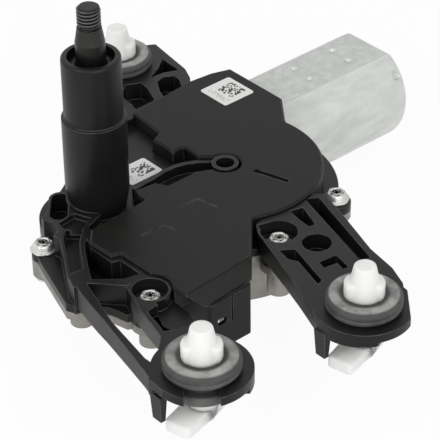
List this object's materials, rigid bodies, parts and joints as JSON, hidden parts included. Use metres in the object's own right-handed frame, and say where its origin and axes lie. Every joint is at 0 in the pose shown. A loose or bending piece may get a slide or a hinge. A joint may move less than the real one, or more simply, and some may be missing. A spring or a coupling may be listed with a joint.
{
  "type": "rear wiper motor",
  "caption": "Rear wiper motor: output tower with threaded spindle, worm gear train, can motor, electronics cover and three grommet-mounted arms.",
  "frame": {"origin": "output shaft axis, in the plane of the three grommets' upper faces, which lie on the vehicle's panel", "axes": "+Z along the output shaft towards its thread, +X along the motor towards its closed end, +Y completes a right-handed frame"},
  "size_m": [0.1981, 0.1985, 0.1184],
  "materials": {
    "frame_plastic": "satin black glass-filled polyamide",
    "cover_plastic": "fine-textured black moulded plastic",
    "cast_alloy": "raw die-cast alloy",
    "can_steel": "zinc-plated drawn steel, dull pale grey",
    "ferrite": "dark sintered ferrite",
    "spring_steel": "spring steel",
    "sintered_bronze": "oil-filled sintered bronze",
    "inner_plastic": "brown-black moulded plastic",
    "carbon": "pressed carbon",
    "bright_steel": "bright zinc-plated steel",
    "seal_rubber": "black rubber",
    "grommet_rubber": "matt grey-black rubber",
    "stud_plastic": "translucent white polyamide",
    "board_laminate": "green laminate",
    "part_black": "black moulded component bodies",
    "terminal_tin": "tin-plated copper alloy",
    "label_film": null,
    "copper": "copper",
    "lamination": "stacked steel laminations",
    "gear_plastic": "natural acetal",
    "sintered_steel": "sintered steel",
    "dark_steel": "black-coated steel with thread and knurl"
  },
  "bodies": {
    "housing": {"carrier_frame": "frame_plastic", "top_cover": "cover_plastic", "gear_housing": "cast_alloy", "motor_can": "can_steel", "magnet_near": "ferrite", "magnet_far": "ferrite", "magnet_clips": "spring_steel", "end_bush": "sintered_bronze", "front_bush": "sintered_bronze", "brush_plate": "inner_plastic", "brush_near": "carbon", "brush_far": "carbon", "brush_springs": "spring_steel", "wheel_pin": "bright_steel", "lower_bush": "sintered_bronze", "upper_bush": "sintered_bronze", "shaft_seal": "seal_rubber", "grommet_left": "grommet_rubber", "grommet_front": "grommet_rubber", "grommet_rear": "grommet_rubber", "stud_left": "stud_plastic", "stud_front": "stud_plastic", "stud_rear": "stud_plastic", "circuit_board": "board_laminate", "board_capacitors": "part_black", "board_choke": "ferrite", "board_chips": "part_black", "terminals": "terminal_tin", "housing_screws": "bright_steel", "motor_screws": "bright_steel", "code_label_cover": "label_film", "code_label_frame": "label_film"},
    "armature": {"armature_shaft": "bright_steel", "commutator": "copper", "armature_core": "lamination", "armature_winding": "copper"},
    "wheel": {"worm_wheel": "gear_plastic", "drive_sector": "sintered_steel"},
    "output": {"output_shaft": "dark_steel", "output_gear": "sintered_steel", "retaining_ring": "spring_steel"}
  },
  "joints": [
    {"name": "armature_spin", "type": "hinge", "parent": "housing", "child": "armature", "pos_m": [0.1, 0.01621, -0.0273], "axis": [1, 0, 0], "range_deg": [-1415, 1415]},
    {"name": "wheel_turn", "type": "hinge", "parent": "housing", "child": "wheel", "pos_m": [0.04392, -0.01527, -0.0273], "axis": [0, 0, 1], "range_deg": [-33, 33]},
    {"name": "output_sweep", "type": "hinge", "parent": "housing", "child": "output", "pos_m": [0, 0, 0.02], "axis": [0, 0, 1], "range_deg": [-60, 60]}
  ],
  "couplings": [
    {"joint": "wheel_turn", "follows": "armature_spin", "ratio": 0.023256},
    {"joint": "output_sweep", "follows": "armature_spin", "ratio": -0.042283}
  ]
}
